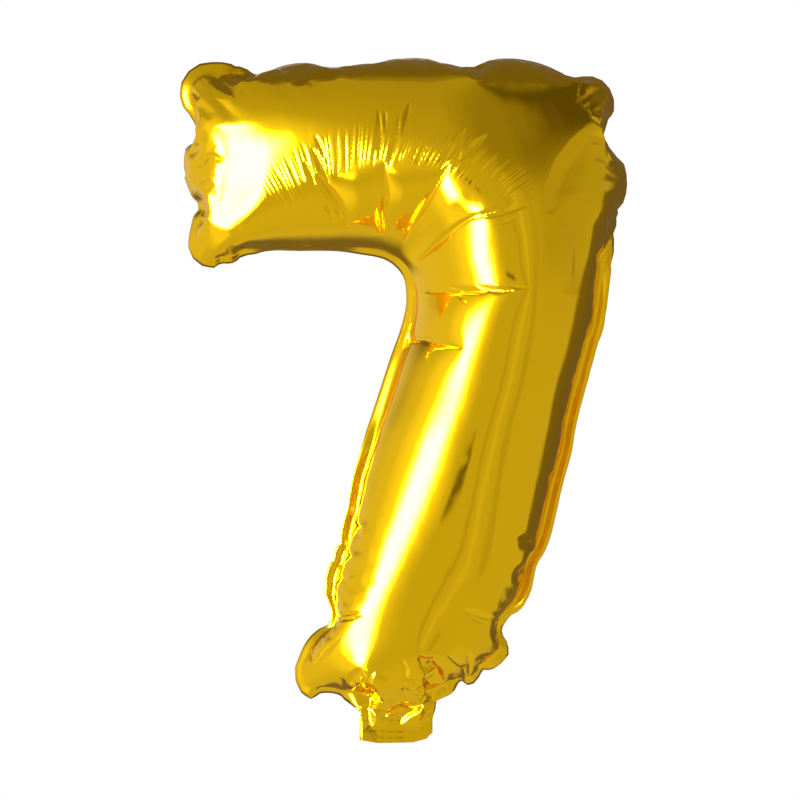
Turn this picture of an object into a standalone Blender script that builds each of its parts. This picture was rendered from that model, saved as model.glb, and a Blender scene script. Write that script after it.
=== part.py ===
"""A foil number balloon, the figure seven, as it comes apart on a bench.

Two gold film sheets are welded together along a flat margin and swell between the welds. The tail below
the neck is the same film, creased so that it folds. A valve of two thin films is welded into the neck,
and its upper flaps part to let air in and lie together to hold it.
The frame is +X to the right, +Y to the back and +Z up, with the origin at the middle of the tail's crease.
"""
import math

import bmesh
import bpy
from mathutils import Vector

MM = 0.001

# Film thicknesses and the gap left between pieces that touch
FOIL = 0.30 * MM
VALVE_FILM = 0.25 * MM
CLEAR = 0.30 * MM

# The weld line of the inflated figure, seen from the front
MARGIN = 5.5 * MM
CORNER_PULL = 0.3
TOP = 335.0 * MM
ARM_END = -105.0 * MM
SHOULDER = 112.0 * MM
SHOULDER_Z = 280.0 * MM
SHOULDER_LEAN = math.radians(9.0)
CORNER_CUT = 24.0 * MM
BEND_X = -26.0 * MM
BEND_Z = 213.0 * MM
INNER_RADIUS = 37.0 * MM
LEAN = math.radians(16.3)
STEM_WIDTH = 88.0 * MM
FOOT_Z = 32.0 * MM
FOOT_SAG = 10.0 * MM
FOOT_SLOPE = math.radians(10.0)

# How far each face stands off the weld plane where the arm and the stem leave the bend, how much more
# the bend swells, and the powers by which the swelling grows away from the two welded ends
ARM_DEPTH = 38.0 * MM
STEM_DEPTH = 46.0 * MM
BEND_SWELL = 6.5 * MM
ARM_POWER = 0.42
STEM_POWER = 0.21

# The lengths next to the welded ends that are divided finely
ARM_CAP = 42.0 * MM
FOOT_CAP = 62.0 * MM

# Towards the outer corner of the bend the section is less full, and its crown lies nearer to the inner weld
CORNER_SLACK = 1.2
CROWN_SHIFT = 0.25
CORNER_SPAN = 3.0

# Lobes drawn in along the welds, the pinch above the foot and the creases that fan out of the bend
END_LOBES = 3
SHOULDER_LOBES = 5
LOBE_DEPTH = 3.0 * MM
FOOT_PINCH = 5.0 * MM
PINCH_HEIGHT = 36.0 * MM
PINCH_SPAN = 16.0 * MM
CREASES = 6
CREASE_DEPTH = 3.0 * MM
CREASE_REACH = 70.0 * MM

# Neck and tail
NECK_WIDTH = 37.0 * MM
CHANNEL_WIDTH = 27.0 * MM
CHANNEL_CROWN = 1.3
MOUTH_DEPTH = 18.0 * MM
MOUTH_SHOULDER = 0.8
NECK_EDGE = 0.85 * MM
TAIL_TOP = 0.05 * MM
TAIL_DROP = 8.2 * MM
TAIL_CORNER_RISE = 2.2 * MM
TAIL_CORNER_RUN = 8.5 * MM

# Valve
VALVE_WIDTH = 24.0 * MM
VALVE_FOOT = 7.0 * MM
FLAP_HINGE = 24.0 * MM
FLAP_LENGTH = 40.0 * MM

# How finely the swollen faces are divided
CAP_STEPS = 5
ARM_STEPS = 4
BEND_STEPS = 24
STEM_STEPS = 6
DOME_COLUMNS = 10

GOLD = (0.80, 0.50, 0.02)
CLEAR_FILM = (0.86, 0.86, 0.82)

BEND_CENTRE = Vector((BEND_X, BEND_Z))
SIDE_NORMAL = Vector((math.cos(LEAN), -math.sin(LEAN)))
SHOULDER_NORMAL = Vector((math.cos(SHOULDER_LEAN), -math.sin(SHOULDER_LEAN)))
FOOT_DOWN = Vector((math.sin(FOOT_SLOPE), -math.cos(FOOT_SLOPE)))
STEM_LEFT = BEND_CENTRE.dot(SIDE_NORMAL) + INNER_RADIUS
STEM_RIGHT = STEM_LEFT + STEM_WIDTH


def make_material(name, colour, metallic, roughness):
    """A plain finish for one kind of film."""
    material = bpy.data.materials.new(name)
    material.use_nodes = True
    shader = material.node_tree.nodes["Principled BSDF"]
    shader.inputs["Base Color"].default_value = (*colour, 1.0)
    shader.inputs["Metallic"].default_value = metallic
    shader.inputs["Roughness"].default_value = roughness
    return material


def make_empty(name, location, parent=None):
    """A pivot that pieces hang from, placed on a joint's axis."""
    empty = bpy.data.objects.new(name, None)
    empty.location = location
    empty.parent = parent
    bpy.context.scene.collection.objects.link(empty)
    return empty


def make_piece(name, mesh, pivot, material):
    """One named piece on its pivot."""
    mesh.materials.append(material)
    piece = bpy.data.objects.new(name, mesh)
    piece.parent = pivot
    bpy.context.scene.collection.objects.link(piece)
    return piece


def outer_reach(direction, grow):
    """Distance from the bend's centre to the outside of the figure along a direction."""
    corner = Vector((1.0, 1.0)).normalized()
    corner_reach = corner.dot(Vector((SHOULDER, TOP))) - CORNER_CUT * math.sqrt(0.5)
    sides = [
        (Vector((0.0, 1.0)), TOP),
        (corner, corner_reach),
        (Vector((1.0, 0.0)), SHOULDER),
        (SHOULDER_NORMAL, SHOULDER_NORMAL.dot(Vector((SHOULDER, SHOULDER_Z)))),
        (SIDE_NORMAL, STEM_RIGHT),
    ]
    reaches = []
    for normal, distance in sides:
        towards = normal.dot(direction)
        if towards > 0.0:
            reaches.append((distance + grow - normal.dot(BEND_CENTRE)) / towards)
    return min(reaches)


def foot_corner(side_reach):
    """Where a side of the stem meets the weld across its foot."""
    direction = Vector((math.cos(FOOT_SLOPE), math.sin(FOOT_SLOPE)))
    start = Vector((0.0, FOOT_Z))
    along = (side_reach - SIDE_NORMAL.dot(start)) / SIDE_NORMAL.dot(direction)
    return start + direction * along


def lobe_notch(share, lobes):
    """0 at the crown of each lobe and 1 in the notches between them."""
    return 1.0 - abs(math.sin(math.pi * lobes * share))


def cap_distances(length):
    """Distances from a welded end, closest together where the swelling is steepest."""
    quarter = math.pi / 2.0
    return [length * (1.0 - math.cos(quarter * step / CAP_STEPS)) for step in range(CAP_STEPS + 1)]


class Station:
    """One line across the figure, from the inner weld to the outer weld, with its margin beyond each."""

    def __init__(self, inner, outer, inner_margin, outer_margin, depth):
        self.inner = inner
        self.outer = outer
        self.inner_margin = inner_margin
        self.outer_margin = outer_margin
        self.depth = depth
        self.crease = 0.0
        self.drawn = 0.0
        self.sag = 0.0
        self.cornered = 0.0

    def roundness(self, column):
        """How much of the depth a column has: an even round section, or a slack one towards the corner."""
        even = (1.0 - math.cos(math.pi * column / DOME_COLUMNS)) / 2.0
        shifted = even ** (1.0 - CROWN_SHIFT * self.cornered)
        full = 2.0 * math.sqrt(shifted * (1.0 - shifted))
        return full ** (1.0 + CORNER_SLACK * self.cornered)


def arm_stations():
    """From the welded end of the arm to where the bend begins."""
    length = BEND_X - ARM_END
    distances = cap_distances(ARM_CAP)
    for step in range(1, ARM_STEPS):
        distances.append(ARM_CAP + (length - ARM_CAP) * step / ARM_STEPS)
    underside = BEND_Z + INNER_RADIUS
    up = Vector((0.0, MARGIN))
    stations = []
    for distance in distances:
        inner = Vector((ARM_END + distance, underside))
        outer = Vector((ARM_END + distance, TOP))
        depth = ARM_DEPTH * (distance / length) ** ARM_POWER
        station = Station(inner, outer, inner - up, outer + up, depth)
        station.drawn = LOBE_DEPTH * max(0.0, 1.0 - distance / ARM_CAP)
        stations.append(station)
    return stations


def bend_stations():
    """The fan of lines round the inside of the bend, with its creases and the shoulder's lobes."""
    first = math.pi / 2.0
    sweep = -LEAN - first
    stations = []
    for step in range(BEND_STEPS + 1):
        share = step / BEND_STEPS
        angle = first + sweep * share
        direction = Vector((math.cos(angle), math.sin(angle)))
        drawn_in = LOBE_DEPTH * lobe_notch(share, SHOULDER_LOBES) * math.sin(math.pi * share)
        inner = BEND_CENTRE + direction * INNER_RADIUS
        outer = BEND_CENTRE + direction * (outer_reach(direction, 0.0) - drawn_in)
        inner_margin = BEND_CENTRE + direction * (INNER_RADIUS - MARGIN)
        outer_margin = BEND_CENTRE + direction * (outer_reach(direction, MARGIN) - drawn_in)
        bent = math.sin(math.pi * share)
        depth = ARM_DEPTH + (STEM_DEPTH - ARM_DEPTH) * share + BEND_SWELL * bent
        station = Station(inner, outer, inner_margin, outer_margin, depth)
        station.crease = CREASE_DEPTH * math.sin(math.pi * CREASES * share) ** 2
        station.cornered = bent ** CORNER_SPAN
        stations.append(station)
    return stations


def stem_stations():
    """From the end of the bend down to the weld across the foot."""
    start = bend_stations()[-1]
    left_foot = foot_corner(STEM_LEFT)
    right_foot = foot_corner(STEM_RIGHT)
    length = ((start.inner + start.outer) / 2.0 - (left_foot + right_foot) / 2.0).length
    distances = list(reversed(cap_distances(FOOT_CAP)))
    upper = [FOOT_CAP + (length - FOOT_CAP) * (1.0 - step / STEM_STEPS) for step in range(1, STEM_STEPS)]
    across = SIDE_NORMAL * MARGIN
    stations = []
    for distance in upper + distances:
        share = distance / length
        pinch = FOOT_PINCH * math.exp(-(((distance - PINCH_HEIGHT) / PINCH_SPAN) ** 2))
        inner = left_foot.lerp(start.inner, share) + SIDE_NORMAL * pinch
        outer = right_foot.lerp(start.outer, share) - SIDE_NORMAL * pinch
        depth = STEM_DEPTH * share ** STEM_POWER
        station = Station(inner, outer, inner - across, outer + across, depth)
        station.sag = FOOT_SAG * max(0.0, 1.0 - distance / FOOT_CAP) ** 2
        stations.append(station)
    return stations


def dome_shares():
    """Shares of the width at which a round section is divided evenly along its arc."""
    half_turn = math.pi / DOME_COLUMNS
    return [(1.0 - math.cos(half_turn * column)) / 2.0 for column in range(DOME_COLUMNS + 1)]


def foot_shares(station):
    """The same columns on the foot's weld, moved so that the middle ones run into the neck."""
    width = station.outer.x - station.inner.x
    middle = DOME_COLUMNS // 2
    marks = {
        middle - 2: -NECK_WIDTH / 2.0,
        middle - 1: -CHANNEL_WIDTH / 2.0,
        middle: 0.0,
        middle + 1: CHANNEL_WIDTH / 2.0,
        middle + 2: NECK_WIDTH / 2.0,
    }
    left = (marks[middle - 2] - station.inner.x) / width
    right = (marks[middle + 2] - station.inner.x) / width
    shares = []
    for column in range(DOME_COLUMNS + 1):
        if column in marks:
            shares.append((marks[column] - station.inner.x) / width)
        elif column < middle:
            shares.append(left * column / (middle - 2))
        else:
            shares.append(right + (1.0 - right) * (column - middle - 2) / (middle - 2))
    return shares


def section_row(station, shares):
    """The points of one line across a face: margin, weld, swollen columns, weld and margin."""
    pull = Vector((station.drawn, 0.0))
    row = [(station.inner_margin + pull, 0.0)]
    for column, share in enumerate(shares):
        sag = station.sag * math.sin(math.pi * column / DOME_COLUMNS)
        point = station.inner.lerp(station.outer, share) + FOOT_DOWN * sag
        roundness = station.roundness(column)
        from_bend = (point - station.inner).length
        fade = max(0.0, 1.0 - from_bend / CREASE_REACH)
        dent = station.crease * fade * roundness
        notch = pull * lobe_notch(share, END_LOBES)
        row.append((point + notch, station.depth * roundness - dent))
    row.append((station.outer_margin + pull, 0.0))
    return row


def margin_row(row, shift):
    """The outer edge of the margin beyond a welded end, with its two corners rounded off."""
    edge = [(point + shift, 0.0) for point, depth in row]
    edge[0] = (edge[0][0].lerp(row[1][0], CORNER_PULL), 0.0)
    edge[-1] = (edge[-1][0].lerp(row[-2][0], CORNER_PULL), 0.0)
    return edge


def neck_row(height, depth):
    """One level of the neck, flat at its edges and standing off the valve in the channel."""
    half_neck = NECK_WIDTH / 2.0
    half_channel = CHANNEL_WIDTH / 2.0
    places = [-half_neck, -half_channel, 0.0, half_channel, half_neck]
    fullness = [0.0, 1.0, CHANNEL_CROWN, 1.0, 0.0]
    return [(Vector((place, height)), depth * full) for place, full in zip(places, fullness)]


def blended_shares(weight, foot):
    """Columns on their way from an even round section to the neck's own places."""
    return [even + (end - even) * weight for even, end in zip(dome_shares(), foot)]


def face_rows():
    """Every row of one face from the arm's end to the foot, and the index of the neck's first column."""
    stations = arm_stations() + bend_stations() + stem_stations()
    foot = foot_shares(stations[-1])
    rows = []
    for station in stations:
        from_foot = (station.inner - stations[-1].inner).length
        weight = max(0.0, 1.0 - from_foot / FOOT_CAP)
        rows.append(section_row(station, blended_shares(weight, foot)))
    middle = DOME_COLUMNS // 2 + 1
    for column, full in ((middle - 1, MOUTH_SHOULDER), (middle, 1.0), (middle + 1, MOUTH_SHOULDER)):
        rows[-1][column] = (rows[-1][column][0], MOUTH_DEPTH * full)
    end_margin = margin_row(rows[0], Vector((-MARGIN, 0.0)))
    foot_margin = margin_row(rows[-1], FOOT_DOWN * MARGIN)
    channel = 1.5 * CLEAR + VALVE_FILM
    first_neck = middle - 2
    throat = neck_row(FOOT_Z - FOOT_SAG - MARGIN, channel)
    foot_margin[first_neck:first_neck + len(throat)] = throat
    neck = [neck_row(VALVE_FOOT - CLEAR, channel), neck_row(NECK_EDGE, 0.0)]
    return [end_margin] + rows + [foot_margin], neck, first_neck


def foil_mesh(name, side):
    """A face of the balloon as a surface; side is -1 for the front and +1 for the back."""
    rows, neck, first_neck = face_rows()
    shell = bmesh.new()

    def place(point, depth):
        return shell.verts.new((point.x, side * (CLEAR / 2.0 + depth), point.y))

    grid = [[place(point, depth) for point, depth in row] for row in rows]
    neck_grid = [grid[-1][first_neck:first_neck + len(neck[0])]]
    neck_grid += [[place(point, depth) for point, depth in row] for row in neck]
    for lines in (grid, neck_grid):
        for upper, lower in zip(lines, lines[1:]):
            for column in range(len(upper) - 1):
                corners = [upper[column], upper[column + 1], lower[column + 1], lower[column]]
                shell.faces.new(corners[::-1] if side < 0 else corners)
    mesh = bpy.data.meshes.new(name)
    shell.to_mesh(mesh)
    shell.free()
    mesh.shade_smooth()
    return mesh


def add_foil(name, side, pivot, material):
    """A face with its film thickness built outwards from the surface."""
    foil = make_piece(name, foil_mesh(name, side), pivot, material)
    film = foil.modifiers.new("Film", "SOLIDIFY")
    film.thickness = FOIL
    film.offset = 1.0
    film.use_even_offset = True
    return foil


def plate_mesh(name, outline, near, far):
    """A flat film cut to an outline in X and Z, between two depths in Y."""
    plate = bmesh.new()
    face = plate.faces.new([plate.verts.new((x, near, z)) for x, z in outline])
    film = bmesh.ops.extrude_face_region(plate, geom=[face])
    moved = [element for element in film["geom"] if isinstance(element, bmesh.types.BMVert)]
    bmesh.ops.translate(plate, verts=moved, vec=(0.0, far - near, 0.0))
    bmesh.ops.recalc_face_normals(plate, faces=plate.faces)
    mesh = bpy.data.meshes.new(name)
    plate.to_mesh(mesh)
    plate.free()
    return mesh


def tail_outline():
    """The tail below its crease, with both lower corners cut off at a slant."""
    half = NECK_WIDTH / 2.0
    slant = half - TAIL_CORNER_RUN
    corner = -TAIL_DROP + TAIL_CORNER_RISE
    return [(-half, TAIL_TOP), (half, TAIL_TOP), (half, corner), (slant, -TAIL_DROP),
            (-slant, -TAIL_DROP), (-half, corner)]


def strip_outline(bottom, top):
    """A straight strip of valve film."""
    half = VALVE_WIDTH / 2.0
    return [(-half, bottom), (half, bottom), (half, top), (-half, top)]


def build():
    """Make every piece and hang it on its pivot."""
    for old in list(bpy.data.objects):
        bpy.data.objects.remove(old)
    gold = make_material("gold_foil", GOLD, 1.0, 0.12)
    tail_gold = make_material("tail_foil", GOLD, 1.0, 0.16)
    film = make_material("valve_film", CLEAR_FILM, 0.0, 0.3)
    balloon = make_empty("balloon", (0.0, 0.0, 0.0))
    tail_pivot = make_empty("tail_crease", (0.0, 0.0, 0.0), balloon)
    foil_near = CLEAR / 2.0
    foil_far = foil_near + FOIL
    valve_near = CLEAR / 2.0
    valve_far = valve_near + VALVE_FILM
    valve_middle = (valve_near + valve_far) / 2.0
    for word, side in (("front", -1.0), ("back", 1.0)):
        add_foil(f"{word}_foil", side, balloon, gold)
        tail = plate_mesh(f"tail_{word}_film", tail_outline(), side * foil_near, side * foil_far)
        make_piece(f"tail_{word}_film", tail, tail_pivot, tail_gold)
        root_strip = strip_outline(VALVE_FOOT, FLAP_HINGE - CLEAR / 2.0)
        root = plate_mesh(f"valve_{word}_root", root_strip, side * valve_near, side * valve_far)
        make_piece(f"valve_{word}_root", root, balloon, film)
        flap_pivot = make_empty(f"valve_{word}_hinge", (0.0, side * valve_middle, FLAP_HINGE), balloon)
        flap_strip = strip_outline(CLEAR / 2.0, FLAP_LENGTH)
        half_film = VALVE_FILM / 2.0
        flap = plate_mesh(f"valve_{word}_flap", flap_strip, -half_film, half_film)
        make_piece(f"valve_{word}_flap", flap, flap_pivot, film)


build()
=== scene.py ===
import math

import bpy
import numpy as np
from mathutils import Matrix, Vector
from mathutils.geometry import delaunay_2d_cdt


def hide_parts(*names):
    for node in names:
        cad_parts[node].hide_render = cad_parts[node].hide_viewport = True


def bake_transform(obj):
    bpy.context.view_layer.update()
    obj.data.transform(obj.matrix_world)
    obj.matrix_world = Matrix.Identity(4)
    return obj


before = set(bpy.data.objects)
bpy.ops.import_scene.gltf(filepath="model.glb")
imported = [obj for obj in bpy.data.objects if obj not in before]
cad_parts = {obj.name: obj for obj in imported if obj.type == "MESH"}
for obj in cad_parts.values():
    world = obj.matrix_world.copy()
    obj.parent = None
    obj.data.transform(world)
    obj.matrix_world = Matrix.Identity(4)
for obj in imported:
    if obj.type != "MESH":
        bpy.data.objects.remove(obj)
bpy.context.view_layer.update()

# The view: the balloon is photographed straight from the front, at its own middle height,
# with a long lens, so the two sides of the figure show almost no perspective.
FRAME_WIDTH = 0.408
VIEW_DISTANCE = 1.3
VIEW_CENTRE = (0.002, 0.0, 0.167)
SENSOR_WIDTH = 36.0
view_data = bpy.data.cameras.new("front_view")
view_data.sensor_width = SENSOR_WIDTH
view_data.lens = SENSOR_WIDTH * VIEW_DISTANCE / FRAME_WIDTH
view = bpy.data.objects.new("front_view", view_data)
view.location = (VIEW_CENTRE[0], VIEW_CENTRE[1] - VIEW_DISTANCE, VIEW_CENTRE[2])
view.rotation_euler = (math.pi / 2, 0.0, 0.0)
bpy.context.scene.collection.objects.link(view)
bpy.context.scene.camera = view
bpy.context.scene.view_settings.view_transform = "Standard"

# The flat cut: both sheets are cut to one outline and welded along a line inside its edge, which
# leaves a flat margin. Swelling draws the figure in, so trial cuts are inflated and corrected
# towards the photographed rim. From here on, places on the film are in millimetres.
MM = 0.001
MARGIN = 6.0
OPEN_EDGE = 0.8
# Each rim point: (right of the neck, above the crease), the radius of the cut's corner, the angle by
# which the margin leans back, and the share by which the puckered weld is drawn smooth.
RIM = {
    "tail_left": ((-17.5, -7.2), 0, 0, 0.0),
    "tail_right": ((19.0, -6.4), 0, 0, 0.0),
    "neck_right": ((21.5, 14.5), 5, 0, 0.0),
    "low_right": ((39.5, 22.0), 25, 60, 0.0),
    "foot_right": ((58.0, 37.0), 16, 45, 0.0),
    "stem_right_low": ((71.0, 80.5), 150, 4, 0.8),
    "stem_right": ((89.5, 141.5), 150, 2, 0.9),
    "stem_right_high": ((105.5, 203.0), 150, 16, 0.8),
    "shoulder": ((118.0, 280.0), 60, 70, 0.0),
    "top_right": ((107.5, 328.5), 24, 60, 0.0),
    "top_right_mid": ((63.0, 341.5), 200, 76, 0.9),
    "top": ((7.0, 342.0), 200, 76, 0.9),
    "top_left_mid": ((-49.0, 339.5), 200, 76, 0.8),
    "top_left": ((-106.0, 335.0), 14, 45, 0.0),
    "end": ((-108.5, 288.0), 80, 62, 0.0),
    "arm_left": ((-101.5, 237.5), 14, 30, 0.0),
    "arm_under": ((-47.5, 243.5), 150, 70, 0.9),
    "bend": ((0.5, 234.5), 30, 48, 0.9),
    "crook": ((5.0, 214.0), 40, 42, 0.9),
    "stem_left_high": ((-8.0, 173.0), 150, 30, 0.8),
    "stem_left": ((-22.5, 127.5), 150, 14, 0.5),
    "stem_left_low": ((-35.5, 79.5), 150, 20, 0.0),
    "foot_left": ((-50.0, 20.5), 14, 50, 0.0),
    "low_left": ((-31.5, 17.0), 25, 60, 0.0),
    "neck_left": ((-19.5, 12.5), 5, 0, 0.0),
}
LEAN_REACH = 4
RIM_NAMES = list(RIM)
RIM_PLACES, RIM_RADII, RIM_LEANS, RIM_SMOOTHING = map(np.array, zip(*RIM.values()))
TAIL_CORNERS = [RIM_NAMES.index("tail_left"), RIM_NAMES.index("tail_right")]
NECK_LEFT = RIM_NAMES.index("neck_left")
NECK_NAMES = ("tail_left", "tail_right", "neck_right", "neck_left")
FIRST_GROWTH = 14.0
NECK_DROP = 16.0
ARC_STEPS = 10
STRAIGHT = 0.02
EDGE_SHARE = 0.48


def rounded_cut(corners):
    """The outline through the corners, each rounded to its radius, and the middle of each round."""
    points = []
    middles = []
    for i, corner in enumerate(corners):
        to_last = corners[i - 1] - corner
        to_next = corners[(i + 1) % len(corners)] - corner
        shortest = min(np.linalg.norm(to_last), np.linalg.norm(to_next))
        to_last = to_last / np.linalg.norm(to_last)
        to_next = to_next / np.linalg.norm(to_next)
        angle = math.acos(np.clip(to_last @ to_next, -1.0, 1.0))
        if RIM_RADII[i] == 0 or math.pi - angle < STRAIGHT:
            points.append(corner)
            middles.append(corner)
            continue
        setback = min(RIM_RADII[i] / math.tan(angle / 2), EDGE_SHARE * shortest)
        radius = setback * math.tan(angle / 2)
        inward = (to_last + to_next) / np.linalg.norm(to_last + to_next)
        centre = corner + inward * radius / math.sin(angle / 2)
        first = corner + to_last * setback - centre
        last = corner + to_next * setback - centre
        turn = math.atan2(first[0] * last[1] - first[1] * last[0], first @ last)
        start = math.atan2(first[1], first[0])
        for step in range(ARC_STEPS + 1):
            here = start + turn * step / ARC_STEPS
            points.append(centre + radius * np.array((math.cos(here), math.sin(here))))
        middles.append(points[-1 - ARC_STEPS // 2])
    return np.array(points), np.array(middles)


def evenly(points, step):
    closed = np.vstack([points, points[:1]])
    run = np.concatenate([[0.0], np.cumsum(np.linalg.norm(np.diff(closed, axis=0), axis=1))])
    count = int(round(run[-1] / step))
    at = np.arange(count) * run[-1] / count
    return np.column_stack([np.interp(at, run, closed[:, 0]), np.interp(at, run, closed[:, 1])])


TINY = 1e-12


def within(points, outline):
    x, z = points[:, :1], points[:, 1:]
    x0, z0 = outline.T
    x1, z1 = np.roll(outline, -1, 0).T
    crossed = ((z0 > z) != (z1 > z)) & (x < (x1 - x0) * (z - z0) / (z1 - z0 + TINY) + x0)
    return crossed.sum(1) % 2 == 1


def weld_distance(points, outline):
    return open_line_distance(points, np.vstack([outline, outline[:1]]))


FILM_SEED = 7
JITTER = 0.08
EDGE_ROOM = 0.62
ROW_SHARE = math.sqrt(0.75)
INSIDE_ONLY = 1
JOIN_LIMIT = 1e-6
START_GAP = 0.8
FRONT, BACK, WELD = 0, 1, 2


def flat_sheets(corners, step):
    """Both flat sheets on one weld line, with the margin outside it: points, triangles, which sheet."""
    points, middles = rounded_cut(corners)
    weld = evenly(points, step)
    count = len(weld)
    low, high = weld.min(0), weld.max(0)
    rows = []
    for row, z in enumerate(np.arange(low[1], high[1], step * ROW_SHARE)):
        x = np.arange(low[0] + (row % 2) * step / 2, high[0], step)
        rows.append(np.column_stack([x, np.full(len(x), z)]))
    inner = np.concatenate(rows)
    inner = inner + np.random.default_rng(FILM_SEED).normal(0.0, JITTER * step, inner.shape)
    inner = inner[within(inner, weld)]
    inner = inner[weld_distance(inner, weld) > EDGE_ROOM * step]
    sheet = np.concatenate([weld, inner])
    edges = [(i, (i + 1) % count) for i in range(count)]
    triangles = delaunay_2d_cdt([Vector(p) for p in sheet], edges, [], INSIDE_ONLY, JOIN_LIMIT)[2]
    triangles = np.array([list(t) for t in triangles])
    side_a = sheet[triangles[:, 1]] - sheet[triangles[:, 0]]
    side_b = sheet[triangles[:, 2]] - sheet[triangles[:, 0]]
    anticlockwise = side_a[:, 0] * side_b[:, 1] - side_a[:, 1] * side_b[:, 0] > 0
    front = np.where(anticlockwise[:, None], triangles, triangles[:, ::-1])
    size = len(sheet)
    behind = np.concatenate([np.arange(count), np.arange(size, 2 * size - count)])
    back = behind[front[:, ::-1]]
    run = np.roll(weld, -1, 0) - np.roll(weld, 1, 0)
    outward = np.column_stack([run[:, 1], -run[:, 0]]) / np.linalg.norm(run, axis=1)[:, None]
    bottom = weld[:, 1] < low[1] + step / 2
    rim = weld + outward * np.where(bottom, OPEN_EDGE, MARGIN)[:, None]
    i = np.arange(count)
    j = (i + 1) % count
    edge = 2 * size - count
    margin = np.concatenate(
        [np.column_stack([i, edge + i, edge + j]), np.column_stack([i, edge + j, j])]
    )
    depth = np.repeat([0.0, -START_GAP, START_GAP, 0.0], [count, size - count, size - count, count])
    plan = np.concatenate([sheet, inner, rim])
    flat = np.column_stack([plan[:, 0], depth, plan[:, 1]])
    faces = np.concatenate([front, back, margin])
    kind = np.repeat([FRONT, BACK, WELD], [len(front), len(back), len(margin)])
    return flat, faces, kind, middles


def sides_of(triangles):
    return np.concatenate([triangles[:, [0, 1]], triangles[:, [1, 2]], triangles[:, [2, 0]]])


def halved(faces, kind, *places):
    """Every triangle split in four at the middles of its sides."""
    sides = np.sort(sides_of(faces), axis=1)
    sides, at = np.unique(sides, axis=0, return_inverse=True)
    a, b, c = at.reshape(3, -1) + len(places[0])
    split = np.concatenate(
        [
            np.column_stack([faces[:, 0], a, c]),
            np.column_stack([a, faces[:, 1], b]),
            np.column_stack([c, b, faces[:, 2]]),
            np.column_stack([a, b, c]),
        ]
    )
    finer = [np.concatenate([p, (p[sides[:, 0]] + p[sides[:, 1]]) / 2]) for p in places]
    return split, np.tile(kind, 4), finer


SIM_SCALE = 0.01
CHANNEL_TAPER = 14.0
FILM_STRETCH = 60.0
FILM_DAMPING = 5.0
FILM_SETTINGS = {
    "quality": 6,
    "mass": 0.05,
    "tension_stiffness": FILM_STRETCH,
    "compression_stiffness": FILM_STRETCH,
    "shear_stiffness": 30.0,
    "tension_damping": FILM_DAMPING,
    "compression_damping": FILM_DAMPING,
    "shear_damping": FILM_DAMPING,
    "bending_damping": 0.5,
    "air_damping": 2.0,
    "use_pressure": True,
    "uniform_pressure_force": 8.0,
    "vertex_group_pressure": "air",
}


def swell(flat, start, faces, kind, frames, stiffness, channel_top):
    """The film blown up from a start shape, with the flat cut as the shape it keeps."""
    mesh = bpy.data.meshes.new("trial_film")
    mesh.from_pydata((start * SIM_SCALE).tolist(), [], faces.tolist())
    film = bpy.data.objects.new("trial_film", mesh)
    bpy.context.scene.collection.objects.link(film)
    film.shape_key_add(name="start")
    cut = film.shape_key_add(name="flat_cut")
    cut.data.foreach_set("co", (flat * SIM_SCALE).ravel())
    push = np.clip((flat[:, 2] - channel_top) / CHANNEL_TAPER, 0.0, 1.0).round(2)
    margin = np.ones(len(flat), bool)
    margin[faces[kind != WELD].ravel()] = False
    push[margin] = 0.0
    air = film.vertex_groups.new(name="air")
    for level in np.unique(push):
        air.add(np.flatnonzero(push == level).tolist(), float(level), "REPLACE")
    cloth = film.modifiers.new("film", "CLOTH")
    cloth.settings.rest_shape_key = cut
    cloth.settings.bending_stiffness = stiffness
    for name, value in FILM_SETTINGS.items():
        setattr(cloth.settings, name, value)
    cloth.settings.effector_weights.gravity = 0.0
    cloth.collision_settings.use_collision = False
    cloth.collision_settings.use_self_collision = False
    cloth.point_cache.frame_start = 1
    cloth.point_cache.frame_end = frames
    for step in range(1, frames + 1):
        bpy.context.scene.frame_set(step)
    blown = film.evaluated_get(bpy.context.evaluated_depsgraph_get())
    places = np.empty(len(flat) * 3)
    blown.data.vertices.foreach_get("co", places)
    bpy.data.objects.remove(film)
    bpy.data.meshes.remove(mesh)
    return places.reshape(-1, 3) / SIM_SCALE


def turned_onto(places, targets):
    """The turn and the two centres that lay one set of plan points best on another."""
    centre, goal = places.mean(0), targets.mean(0)
    u, stretch, v = np.linalg.svd((places - centre).T @ (targets - goal))
    handed = np.diag([1.0, np.sign(np.linalg.det(v.T @ u.T))])
    return v.T @ handed @ u.T, centre, goal


def unit(vectors):
    return vectors / np.maximum(np.linalg.norm(vectors, axis=-1, keepdims=True), TINY)


def square_on(places, triangles):
    """The direction square on each triangle, as long as twice its area."""
    first = places[triangles[:, 0]]
    return np.cross(places[triangles[:, 1]] - first, places[triangles[:, 2]] - first)


def facing(places, triangles):
    """The outward direction at each point."""
    outward = np.zeros_like(places)
    for corner in range(3):
        np.add.at(outward, triangles[:, corner], square_on(places, triangles))
    return unit(outward)


MARGIN_ROWS = 3
MARGIN_SMOOTHING = 14
MARGIN_TILT = 0.6
TAIL_STRAIGHT = 10.0


def smoothed(ring, rounds):
    """Values round a closed line, each eased towards its two neighbours."""
    for turn in range(rounds):
        ring = (np.roll(ring, 1, 0) + 2.0 * ring + np.roll(ring, -1, 0)) / 4.0
    return ring


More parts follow.
